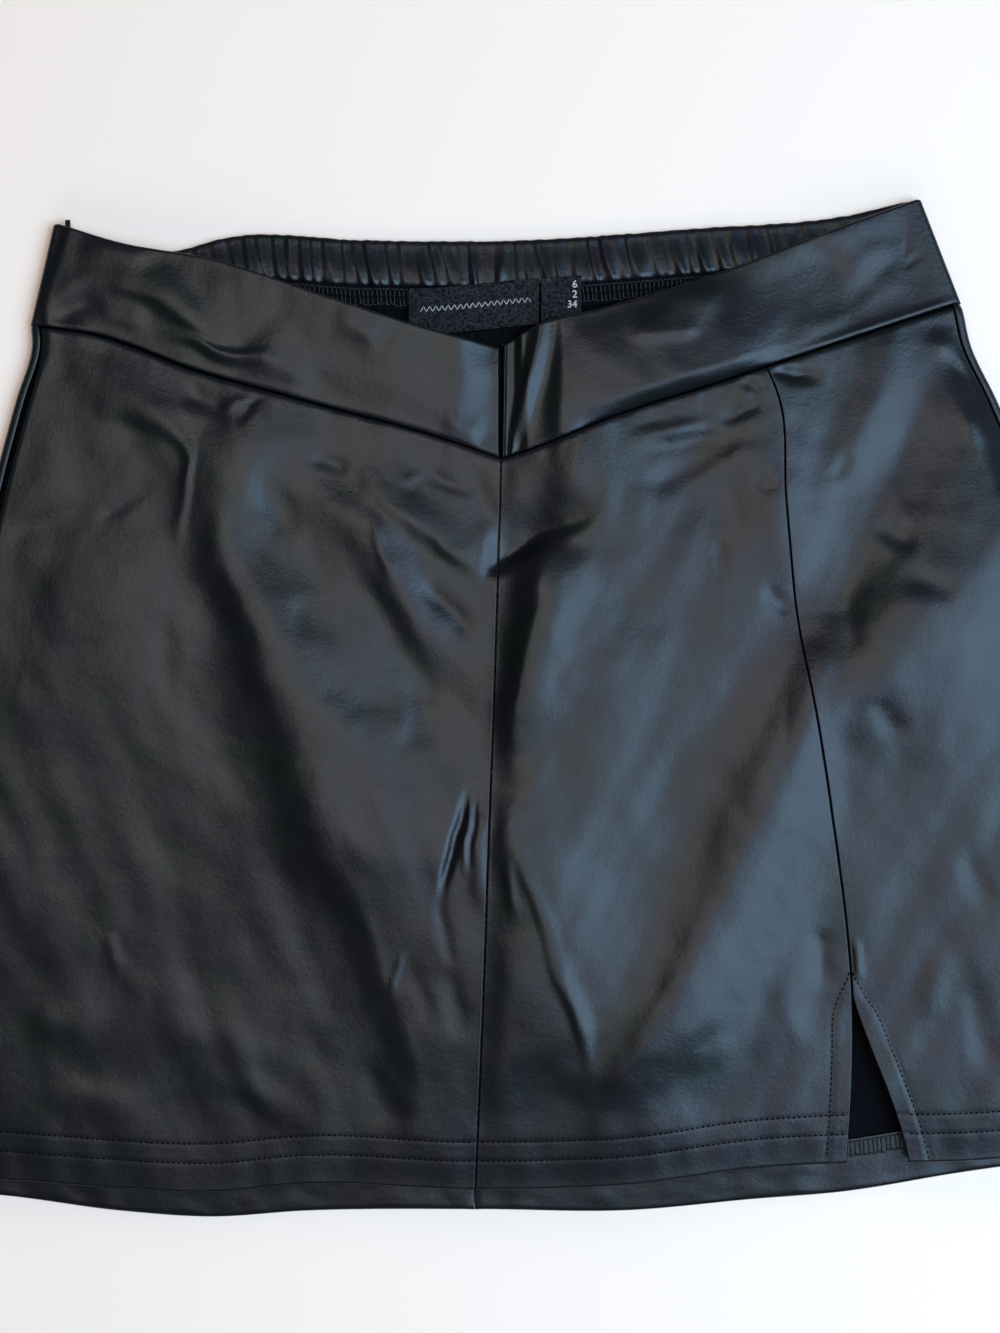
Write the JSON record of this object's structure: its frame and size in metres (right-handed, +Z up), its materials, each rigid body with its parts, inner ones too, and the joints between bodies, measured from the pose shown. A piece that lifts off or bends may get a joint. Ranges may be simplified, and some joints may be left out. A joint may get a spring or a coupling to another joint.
{
  "type": "mini skirt",
  "caption": "Leather-look mini skirt laid flat: V-dipped front waistband, gathered elastic back waist, concealed side zip and a slit in the front hem.",
  "frame": {"origin": "on the surface the skirt lies on, under the middle of its bounding box", "axes": "+X across the skirt towards the side with the slit, +Y from hem to waist, +Z up off the surface, towards the front of the skirt"},
  "size_m": [0.4919, 0.3964, 0.0064],
  "materials": {
    "coated_cloth": "satin, fine-grained polyurethane coating on a black knit",
    "knit_back": "matt brushed knit and overlocked thread",
    "label_satin": "woven satin",
    "zip_nylon": "black nylon coil and tape"
  },
  "bodies": {
    "root": {"back_left_panel": "coated_cloth", "back_right_panel": "coated_cloth", "back_waistband": "coated_cloth", "elastic_casing": "coated_cloth", "overlocked_edge": "knit_back", "neck_label": "label_satin", "size_label": "label_satin", "front_left_panel": "coated_cloth", "front_centre_panel": "coated_cloth", "front_side_panel": "coated_cloth", "front_waistband_left": "coated_cloth", "front_waistband_right": "coated_cloth", "zip_coil": "zip_nylon", "zip_tape_end": "zip_nylon"}
  },
  "joints": []
}
